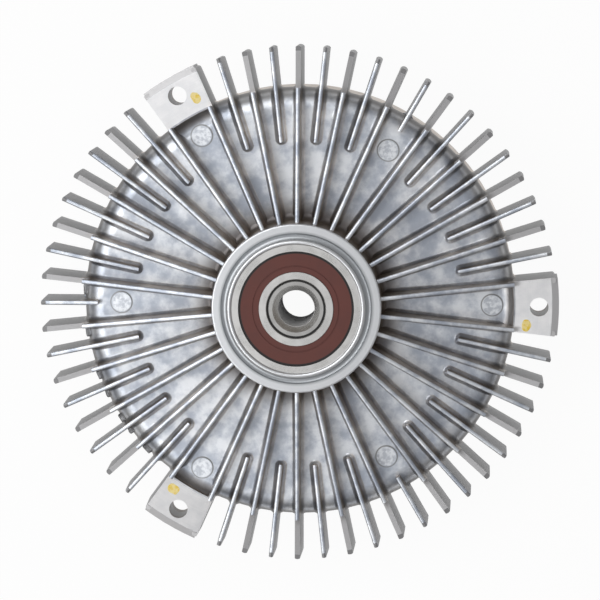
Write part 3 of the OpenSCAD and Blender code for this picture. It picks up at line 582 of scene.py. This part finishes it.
# %% [markdown]
# ## Steel and turned metal
# Ground bearing rings, the turned shaft and rolled sheet are all bare metal. They differ in how dark the
# steel is, how far the surface scatters light and how deep the tool marks are, so one recipe with a few
# numbers makes them all. Painted shade in a narrow gap or a bore is a band of dark grey that isn't metal any
# more.

# %% Bare metals
STAIN_SHARE = 0.4
ROUGH_LESS, ROUGH_MORE = 0.04, 0.06
SHADE_BAND_SOFT = 0.06 * MM
SHADE_BAND_ROUGH = 0.8


def face_normal(tree):
    """The normal of the piece, but that of the bare face where the face looks straight along the axis."""
    geometry = add_node(tree, "NewGeometry").outputs
    along_axis = calculate(tree, "ABSOLUTE", upwards(tree, geometry["True Normal"]))
    flat = step_mask(tree, along_axis, low=0.990, high=0.998)
    inputs = {0: flat, 4: geometry["Normal"], 5: geometry["True Normal"]}
    return add_node(tree, "Mix", inputs, data_type="VECTOR").outputs[1]


def bare_metal(name, dark, light, rough, shade_bands=(), pitch=0.2 * MM, depth=0.003 * MM):
    """Bands of painted shade are given as a low radius, a high radius and a grey."""
    finish, tree, shader, place = new_finish(name)
    radius = radius_of(tree, place)
    lines = turned_lines(tree, radius, pitch, place)
    stains = step_mask(tree, grain(tree, place, scale=220.0, detail=4.0), low=0.35, high=0.65)
    tone = mix_value(tree, STAIN_SHARE, lines, stains)
    surface = tones(tree, tone, dark, light)
    bare = 1.0
    for low, high, grey in shade_bands:
        here = band(tree, radius, low, high, SHADE_BAND_SOFT)
        surface = stain(tree, surface, here, (grey, grey, grey))
        bare = calculate(tree, "SUBTRACT", bare, here)
    clean_rough = mix_value(tree, tone, rough - ROUGH_LESS, rough + ROUGH_MORE)
    feed(tree, shader,
         Base_Color=surface,
         Metallic=bare,
         Roughness=mix_value(tree, bare, SHADE_BAND_ROUGH, clean_rough),
         Normal=dent(tree, lines, depth, strength=0.5, under=face_normal(tree)))
    return finish


print("recipe for bare metal ready")

# %% [markdown]
# Each metal is one line of that recipe. The bearing rings are ground, so their marks are the finest. Painted
# shade darkens the gap between the shaft and the inner ring, and the bore is dull where no tool has polished
# it and darkened by painted shade.

# %% The metals of this clutch
BORE_CLEARANCE = 0.1 * MM
bore_r = mounts["shaft_bore"]["dims"]["r_mm"] * MM
# Painted shade in the gap between the shaft and the inner ring, and in the bore.
gap_shade = (9.75 * MM, 10.45 * MM, 0.03)
bore_shade = (0.0, bore_r + BORE_CLEARANCE, 0.50)
bearing_finish = bare_metal("ground bearing steel", dark=(0.66, 0.66, 0.65), light=(0.78, 0.78, 0.77),
                            rough=0.28, shade_bands=[gap_shade], depth=0.001 * MM)
shaft_finish = bare_metal("turned shaft steel", dark=(0.58, 0.58, 0.57), light=(0.76, 0.76, 0.75),
                          rough=0.18, shade_bands=[gap_shade, bore_shade])
rotor_finish = bare_metal("turned aluminium", dark=(0.70, 0.70, 0.71), light=(0.82, 0.82, 0.82), rough=0.30)
plate_finish = bare_metal("rolled sheet steel", dark=(0.50, 0.50, 0.49), light=(0.62, 0.62, 0.61), rough=0.34)
spring_finish = bare_metal("hardened spring steel", dark=(0.36, 0.35, 0.33), light=(0.50, 0.49, 0.47),
                           rough=0.30)
bimetal_finish = bare_metal("bimetal strip", dark=(0.52, 0.46, 0.38), light=(0.64, 0.58, 0.49), rough=0.32)
print("bare metals made, bore radius %.4f" % bore_r)

# %% [markdown]
# ## Rubber and plastic
# The bearing's seals are brown rubber on a sheet-metal core, satin and faintly ringed from the mould. The
# other seals are black. The cage is moulded plastic, the colour of amber. One recipe serves all three, and
# the outer edge of the brown seals, which sinks into the ring, is painted nearly black as painted shade
# in the gap.

# %% Rubber and plastic
MOULD_PITCH = 0.35 * MM
BLOOM_SHARE = 0.5
BLOOM_ROUGH = 0.12
SUNK_EDGE = 0.80 * MM
# Painted shade in the gap where the seal sinks into the ring.
SEAL_GAP_SHADE = (0.010, 0.008, 0.008)


def moulded(name, dark, light, rough, seal_shade_r=None):
    finish, tree, shader, place = new_finish(name)
    radius = radius_of(tree, place)
    rings = turned_lines(tree, radius, MOULD_PITCH, place)
    bloom = step_mask(tree, grain(tree, place, scale=180.0), low=0.3, high=0.7)
    tone = mix_value(tree, BLOOM_SHARE, rings, bloom)
    surface = tones(tree, tone, dark, light)
    # Painted shade: the sunk outer edge of the seal is painted nearly black.
    if seal_shade_r is not None:
        surface = stain(tree, surface, past(tree, radius, seal_shade_r, CRISP), SEAL_GAP_SHADE)
    feed(tree, shader,
         Base_Color=surface,
         Roughness=mix_value(tree, tone, rough, rough + BLOOM_ROUGH),
         Normal=dent(tree, grain(tree, place, scale=2500.0), distance=0.01 * MM, strength=0.4))
    return finish


seal_edge_r = Vector(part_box("bearing_rear_seal")[1]).x
brown_finish = moulded("brown seal rubber", dark=(0.098, 0.026, 0.020), light=(0.130, 0.037, 0.029),
                       rough=0.58, seal_shade_r=seal_edge_r - SUNK_EDGE)
black_finish = moulded("black seal rubber", dark=(0.012, 0.012, 0.012), light=(0.030, 0.030, 0.030),
                       rough=0.5)
cage_finish = moulded("amber cage plastic", dark=(0.24, 0.20, 0.12), light=(0.34, 0.29, 0.19), rough=0.42)
print("rubber and plastic made, seal radius %.4f" % seal_edge_r)

# %% [markdown]
# ## Put the finishes on the solids
# A solid keeps its own shape. Only its material slots change, so the finish is assigned by the slot that
# the model's record gives to each piece.

# %% Assign finishes by slot
finishes = {
    "cast_aluminium": cast_finish,
    "turned_aluminium": rotor_finish,
    "bearing_steel": bearing_finish,
    "shaft_steel": shaft_finish,
    "plate_steel": plate_finish,
    "spring_steel": spring_finish,
    "bimetal": bimetal_finish,
    "brown_rubber": brown_finish,
    "black_rubber": black_finish,
    "cage_plastic": cage_finish,
}
for part in frame["record"]["subparts"]:
    solid = nodes[part["node"]]
    solid.data.materials.clear()
    solid.data.materials.append(finishes[part["material_slot"]])
print("finishes assigned to", len(nodes), "solids")

# %% [markdown]
# ## Pieces for the eye
# A few things are too small or too soft for the exact solids: three dabs of yellow marking paint on the
# lugs, the ragged flash that the die left along the rim, and the rounds of the fins' feet where they run over
# the shoulder. They are modelled here from plain primitives, as by hand, and they ride on the housing. These
# helpers open a new primitive, apply a modifier, and close the piece with its finish.

# %% Helpers for modelled pieces
SMOOTH_BELOW = math.radians(40)


def begin(name):
    """Names the primitive that was just added, and opens it for editing with everything selected."""
    piece = bpy.context.object
    piece.name = name
    bpy.ops.object.mode_set(mode="EDIT")
    bpy.ops.mesh.select_all(action="SELECT")
    return piece


def keep(piece, kind, **settings):
    """Adds a modifier and applies it at once."""
    bpy.ops.object.mode_set(mode="OBJECT")
    modifier = piece.modifiers.new(kind.lower(), kind)
    for name, value in settings.items():
        setattr(modifier, name, value)
    bpy.ops.object.modifier_apply(modifier=modifier.name)


def place_in_mesh():
    """Writes the transform of the piece into its mesh, so that it sits unturned at the origin."""
    bpy.ops.object.transform_apply(location=True, rotation=True, scale=True)


def close(piece, finish):
    """Leaves edit mode, settles and smooths the piece, and gives it its finish."""
    bpy.ops.object.mode_set(mode="OBJECT")
    place_in_mesh()
    bpy.ops.object.shade_smooth_by_angle(angle=SMOOTH_BELOW)
    piece.data.materials.clear()
    piece.data.materials.append(finish)
    print("%s: %d faces" % (piece.name, len(piece.data.polygons)))
    return piece


print("modelling helpers ready")

# %% [markdown]
# Marking paint is dabbed on when a clutch has passed its test. It is a strong yellow with pale streaks where
# it is thin. One flat yellow would look like a sticker, so a noise mixes two and roughens the streaks.

# %% Yellow marking paint
PAINT_YELLOWS = (0.78, 0.56, 0.05), (0.86, 0.71, 0.30)
PAINT_ROUGH = 0.35, 0.5


def marking_paint(name):
    finish, tree, shader, place = new_finish(name)
    streaks = step_mask(tree, grain(tree, place, scale=900.0, detail=2.0), low=0.35, high=0.62)
    feed(tree, shader,
         Base_Color=tones(tree, streaks, *PAINT_YELLOWS),
         Roughness=mix_value(tree, streaks, *PAINT_ROUGH),
         Normal=dent(tree, streaks, distance=0.05 * MM, strength=0.6))
    return finish


paint_finish = marking_paint("yellow marking paint")
print("finish:", paint_finish.name)

# %% [markdown]
# The paint dries as a thin, uneven film. It could be a stain in the finish of the lugs, but it has a
# thickness and an edge that catch the light. A flat disc with a shaken outline, raised twice and softened,
# makes such a film.

# %% Dabs of paint on the lugs
FILM_RISE, CROWN_RISE, CROWN_INSET = 0.03 * MM, 0.04 * MM, 0.45 * MM
DAB_SHAKE = 0.5 * MM


def paint_dab(name, reach, degrees, length, width, lean, seed):
    bpy.ops.object.select_all(action="DESELECT")
    place = polar(reach, degrees, lug_z)
    bpy.ops.mesh.primitive_circle_add(vertices=14, radius=0.5, fill_type="NGON", location=place)
    dab = begin(name)
    bpy.ops.transform.resize(value=(length, width, 1), center_override=place)
    bpy.ops.transform.rotate(value=-math.radians(lean), orient_axis="Z", center_override=place)
    bpy.ops.transform.vertex_random(offset=DAB_SHAKE, seed=seed)
    bpy.ops.transform.resize(value=(1, 1, 0), center_override=place)
    bpy.ops.mesh.extrude_region_move(TRANSFORM_OT_translate={"value": (0, 0, FILM_RISE)})
    bpy.ops.mesh.inset(thickness=CROWN_INSET, depth=CROWN_RISE)
    keep(dab, "SUBSURF", levels=2, render_levels=2)
    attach(close(dab, paint_finish), "housing")


paint_dab("paint_dab_upper_left", reach=81.4 * MM, degrees=116.3,
          length=3.6 * MM, width=4.3 * MM, lean=30, seed=3)
paint_dab("paint_dab_right", reach=80.8 * MM, degrees=-4.6,
          length=3.8 * MM, width=4.3 * MM, lean=0, seed=8)
paint_dab("paint_dab_lower_left", reach=79.7 * MM, degrees=236.3,
          length=4.0 * MM, width=4.8 * MM, lean=60, seed=5)

# %% [markdown]
# Where the two halves of the die meet at the rim, a little metal is squeezed out and breaks off ragged. On
# this casting it shows on the left. A sculpted mesh would do, but for crumbs of this size a shaken one is
# enough. Each starts as a block on the round of the shoulder, is cut into small faces, shaken and softened.

# %% Casting flash on the rim
SHOULDER_R = 7.0 * MM
SHOULDER_DEPTH = 11.7 * MM
FLASH_INSIDE_RIM = 0.6 * MM
FLASH_WIDTH, FLASH_HEIGHT, FLASH_SPARE = 2.2 * MM, 1.9 * MM, 0.6 * MM
FLASH_SHAKE = 0.55 * MM
flash_r = rim_r - FLASH_INSIDE_RIM
shoulder_start = rim_r - SHOULDER_R
flash_z = lug_z - SHOULDER_DEPTH + math.sqrt(SHOULDER_R ** 2 - (flash_r - shoulder_start) ** 2)


def casting_flash(name, degrees, length, seed):
    bpy.ops.object.select_all(action="DESELECT")
    bpy.ops.mesh.primitive_cube_add(size=1, location=polar(flash_r, degrees, flash_z),
                                    rotation=(0, 0, math.radians(degrees)),
                                    scale=(FLASH_WIDTH, length + FLASH_SPARE, FLASH_HEIGHT))
    flash = begin(name)
    bpy.ops.mesh.subdivide(number_cuts=3)
    bpy.ops.object.mode_set(mode="OBJECT")
    place_in_mesh()
    bpy.ops.object.mode_set(mode="EDIT")
    bpy.ops.transform.vertex_random(offset=FLASH_SHAKE, seed=seed)
    keep(flash, "SUBSURF", levels=1, render_levels=1)
    close(flash, cast_finish)
    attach(flash, "housing")


flash_places = [(176.5, 4.2 * MM), (188.3, 3.4 * MM), (200.5, 2.6 * MM), (206.0, 2.4 * MM),
                (213.6, 2.6 * MM), (217.8, 1.6 * MM), (224.4, 3.0 * MM)]
for number, (degrees, length) in enumerate(flash_places, 1):
    casting_flash("casting_flash_%d" % number, degrees, length, number)

# %% [markdown]
# In the exact solids the rounds at the fins' feet run out just before the shoulder. On the casting they run
# on over it and down to the rim. A bevel on the solid would give them too, but a solid's mesh is never
# changed here. So a square with one corner hollowed by a bevel is drawn out along the floor, spun over the
# shoulder and drawn down the wall.

# %% One round over the shoulder
FOOT_R = 2.2 * MM
FOOT_HALF = 0.775 * MM
FOOT_SINK = 0.3 * MM
ROUND_DIP = 0.13 * MM
HOLLOW_PROFILE = 0.086
FLOOR_RUN = 2.5 * MM
WALL_RUN = 0.6 * MM
round_start = shoulder_start - FLOOR_RUN


def select_points(piece, wanted):
    """Selects the points that pass the test, and stays in edit mode."""
    bpy.ops.mesh.select_all(action="DESELECT")
    bpy.ops.mesh.select_mode(type="VERT")
    bpy.ops.object.mode_set(mode="OBJECT")
    for point in piece.data.vertices:
        point.select = wanted(point.co)
    bpy.ops.object.mode_set(mode="EDIT")


def draw_out(x=0.0, z=0.0):
    """Extrudes the selected face by that way."""
    bpy.ops.mesh.extrude_region_move(TRANSFORM_OT_translate={"value": (x, 0, z)})


def shoulder_round(name, side):
    """The round on one side of a fin that lies along +X."""
    bpy.ops.object.select_all(action="DESELECT")
    width = FOOT_R + FOOT_SINK
    middle_y = side * (FOOT_HALF + FOOT_R - width / 2)
    middle_z = cast_floor_z - ROUND_DIP + FOOT_R - width / 2
    bpy.ops.mesh.primitive_plane_add(size=width, location=(round_start, middle_y, middle_z),
                                     rotation=(0, math.pi / 2, 0))
    place_in_mesh()
    bar = begin(name)
    select_points(bar, lambda at: side * (at.y - middle_y) > 0 and at.z > middle_z)
    bpy.ops.mesh.bevel(offset=FOOT_R, affect="VERTICES", segments=6, profile=HOLLOW_PROFILE)
    bpy.ops.mesh.select_all(action="SELECT")
    draw_out(x=shoulder_start - round_start)
    bpy.ops.mesh.spin(steps=8, angle=math.radians(90), center=(shoulder_start, 0, cast_floor_z - SHOULDER_R),
                      axis=(0, -1, 0))
    draw_out(z=-WALL_RUN)
    bpy.ops.mesh.select_all(action="SELECT")
    bpy.ops.mesh.normals_make_consistent(inside=False)
    return close(bar, cast_finish)


round_bars = [shoulder_round("shoulder_round_left", 1), shoulder_round("shoulder_round_right", -1)]

# %% [markdown]
# A fin stands every 6 degrees, but for the places of the lugs and of the stub fins halfway between them. The
# two bars are copied round the axis to the sides of each fin, and the copies are joined into one piece,
# because on the casting they are one skin.

# %% Rounds at all fins
fin_angles = [degrees for degrees in range(0, 360, FIN_DEGREES) if degrees % HALF_LUG_DEGREES]


def copy_turned(piece, degrees):
    bpy.ops.object.select_all(action="DESELECT")
    piece.select_set(True)
    bpy.context.view_layer.objects.active = piece
    bpy.ops.object.duplicate()
    copy = bpy.context.object
    copy.rotation_euler.z = math.radians(degrees)
    place_in_mesh()
    return copy


round_copies = [copy_turned(bar, degrees) for degrees in fin_angles for bar in round_bars]
for bar in round_bars:
    bpy.data.objects.remove(bar)
bpy.ops.object.select_all(action="DESELECT")
for copy in round_copies:
    copy.select_set(True)
bpy.context.view_layer.objects.active = round_copies[0]
bpy.ops.object.join()
rounds = bpy.context.object
rounds.name = "shoulder_rounds"
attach(rounds, "housing")
print("rounds over the shoulder:", len(round_copies), "faces:", len(rounds.data.polygons))

# %% [markdown]
# ## The strip and the lever
# The bimetal strip bows outwards as the radiator's air warms it. Its middle pushes the control pin, and the
# leaf spring over the valve port follows the pin. A solid can't bow, so both are modelled again here with
# cuts along their length, so that they can bend. The strip is held at both ends, so it is made as two halves
# that meet over the pin.

# %% Bimetal strip in two halves
STRIP_EDGE = 0.15 * MM
STRIP_CUTS = 14
strip_low, strip_high = (Vector(corner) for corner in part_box("bimetal_strip"))


def select_edges(piece, wanted):
    """Selects the edges whose direction passes the test, and stays in edit mode."""
    bpy.ops.mesh.select_all(action="DESELECT")
    bpy.ops.mesh.select_mode(type="EDGE")
    bpy.ops.object.mode_set(mode="OBJECT")
    points = piece.data.vertices
    for edge in piece.data.edges:
        first, second = (points[index].co for index in edge.vertices)
        edge.select = wanted(second - first)
    bpy.ops.object.mode_set(mode="EDIT")


def cut_across(count, start_x, end_x):
    """Cuts the open piece across its length, so that it can bend there."""
    for step in range(1, count + 1):
        bpy.ops.mesh.select_all(action="SELECT")
        at = start_x + (end_x - start_x) * step / (count + 1)
        bpy.ops.mesh.bisect(plane_co=(at, 0, 0), plane_no=(1, 0, 0))


def strip_half(name, end_x):
    bpy.ops.object.select_all(action="DESELECT")
    size = strip_high - strip_low
    middle = (strip_high + strip_low) / 2
    bpy.ops.mesh.primitive_cube_add(size=1, location=(end_x / 2, middle.y, middle.z),
                                    scale=(abs(end_x), size.y, size.z))
    place_in_mesh()
    half = begin(name)
    select_edges(half, lambda along: abs(along.x) > abs(end_x) / 2)
    bpy.ops.mesh.bevel(offset=STRIP_EDGE, segments=2)
    cut_across(STRIP_CUTS, 0.0, end_x)
    close(half, bimetal_finish)
    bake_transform(half)
    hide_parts("bimetal_strip")


strip_half("bimetal_strip_left_half", strip_low.x)
strip_half("bimetal_strip_right_half", strip_high.x)

# %% [markdown]
# The valve lever is a leaf of spring steel, riveted to the plate at one end, and its other end follows the
# pin. It could be a bar with rounded ends. A circle whose right half is pulled out to the rivet has the same
# outline with fewer steps. The rivet's hole is punched by a Boolean modifier.

# %% Valve lever
LEVER_CUTS = 16
RIVET_HOLE_R = 1.42 * MM
PUNCH_LENGTH = 10 * MM
NUDGE = 0.01 * MM
lever_low, lever_high = (Vector(corner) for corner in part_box("valve_lever"))
rivet_low, rivet_high = (Vector(corner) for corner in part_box("lever_rivet"))
rivet_x = (rivet_low.x + rivet_high.x) / 2
lever_y = (lever_low.y + lever_high.y) / 2


def lever_leaf(name):
    bpy.ops.object.select_all(action="DESELECT")
    half_width = (lever_high.y - lever_low.y) / 2
    far_x = lever_low.x + half_width
    bpy.ops.mesh.primitive_circle_add(vertices=32, radius=half_width, fill_type="NGON",
                                      location=(far_x, lever_y, lever_low.z))
    place_in_mesh()
    lever = begin(name)
    select_points(lever, lambda at: at.x > far_x + NUDGE)
    bpy.ops.transform.translate(value=(rivet_x - far_x, 0, 0))
    bpy.ops.mesh.select_all(action="SELECT")
    draw_out(z=lever_high.z - lever_low.z)
    cut_across(LEVER_CUTS, 0.0, rivet_low.x)
    return close(lever, spring_finish)


def punch_rivet_hole(lever):
    bpy.ops.object.select_all(action="DESELECT")
    bpy.ops.mesh.primitive_cylinder_add(vertices=24, radius=RIVET_HOLE_R, depth=PUNCH_LENGTH,
                                        location=(rivet_x, lever_y, lever_low.z))
    punch = bpy.context.object
    bpy.context.view_layer.objects.active = lever
    keep(lever, "BOOLEAN", object=punch, operation="DIFFERENCE", solver="EXACT")
    bpy.data.objects.remove(punch)


lever = lever_leaf("valve_lever_leaf")
punch_rivet_hole(lever)
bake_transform(lever)
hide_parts("valve_lever")
print("lever with its hole:", len(lever.data.polygons), "faces")

# %% [markdown]
# ## Floor, light and surroundings
# The photograph has a plain white ground. Strong lamps could make a floor that white, and they would bleach
# the metal too. So the floor glows white where the camera or a reflection looks at it, and a small share of
# it is an ordinary matt surface, which keeps the clutch's shadow. From below it is clear, so that the front
# of the clutch can be looked at too.

# %% Floor
FLOOR_SIDE = 6.0
FLOOR_GAP = 0.2 * MM
GLOW_SHARE = 0.95


def white_floor(name):
    finish, tree, matt, _ = new_finish(name)
    feed(tree, matt, Base_Color=colour(0.8, 0.8, 0.8), Roughness=0.9)
    glow = add_node(tree, "Emission", {"Color": colour(1, 1, 1), "Strength": 1.0})
    path = add_node(tree, "LightPath").outputs
    seen = calculate(tree, "MAXIMUM", path["Is Camera Ray"], path["Is Glossy Ray"])
    seen = calculate(tree, "MAXIMUM", seen, path["Is Transmission Ray"])
    share = calculate(tree, "MULTIPLY", seen, GLOW_SHARE)
    from_above = add_node(tree, "MixShader", {0: share, 1: matt.outputs[0], 2: glow.outputs[0]})
    clear = add_node(tree, "BsdfTransparent")
    below = add_node(tree, "NewGeometry").outputs["Backfacing"]
    one_sided = add_node(tree, "MixShader", {0: below, 1: from_above.outputs[0], 2: clear.outputs[0]})
    tree.links.new(one_sided.outputs[0], tree.nodes["Material Output"].inputs["Surface"])
    return finish


bpy.ops.object.select_all(action="DESELECT")
bpy.ops.mesh.primitive_plane_add(size=FLOOR_SIDE, location=(0, 0, -FLOOR_GAP))
floor = bpy.context.object
floor.name = "floor"
floor.data.materials.append(white_floor("white floor"))
print("floor of %.0f metres made" % FLOOR_SIDE)

# %% [markdown]
# A large soft light stands at the upper left, and a small one fills in at the lower left. Bare metal shows
# mostly what is round it, so the surroundings matter as much: they are bright overhead, a little dimmer on
# the right, and dark and warm low down. Level faces come out pale and steep ones dark, as on the bench. One
# even white world would make every face the same grey.

# %% Lights and surroundings
OVERHEAD_LEFT = (0.58, 0.57, 0.56)
OVERHEAD_RIGHT = (0.47, 0.47, 0.48)
LOW_DOWN = (0.19, 0.17, 0.15)


def soft_light(name, azimuth, elevation, distance, width, height, power):
    """A soft box that looks at the clutch. Azimuth is counted from +X towards +Y."""
    lamp = bpy.data.lights.new(name, "AREA")
    lamp.shape = "RECTANGLE"
    lamp.size = width
    lamp.size_y = height
    lamp.energy = power
    rise = math.radians(elevation)
    out = polar(math.cos(rise), azimuth, math.sin(rise))
    light = bpy.data.objects.new(name, lamp)
    light.location = pivot + out * distance
    light.rotation_euler = out.to_track_quat("Z", "Y").to_euler()
    scene.collection.objects.link(light)


soft_light("key light", azimuth=150, elevation=58, distance=0.70, width=0.80, height=0.40, power=2.35)
soft_light("low fill", azimuth=226, elevation=55, distance=0.50, width=0.25, height=0.25, power=0.30)

world = bpy.data.worlds.new("studio")
world.use_nodes = True
scene.world = world
sky = world.node_tree
direction = add_node(sky, "TexCoord").outputs["Generated"]
axes = add_node(sky, "SeparateXYZ", {0: direction}).outputs
to_right = step_mask(sky, axes["X"], low=-0.8, high=0.8)
raised = step_mask(sky, axes["Z"], low=0.20, high=0.80)
overhead = tones(sky, to_right, OVERHEAD_LEFT, OVERHEAD_RIGHT)
tint = mix_colour(sky, raised, colour(*LOW_DOWN), overhead)
feed(sky, sky.nodes["Background"], Color=tint, Strength=1.0)
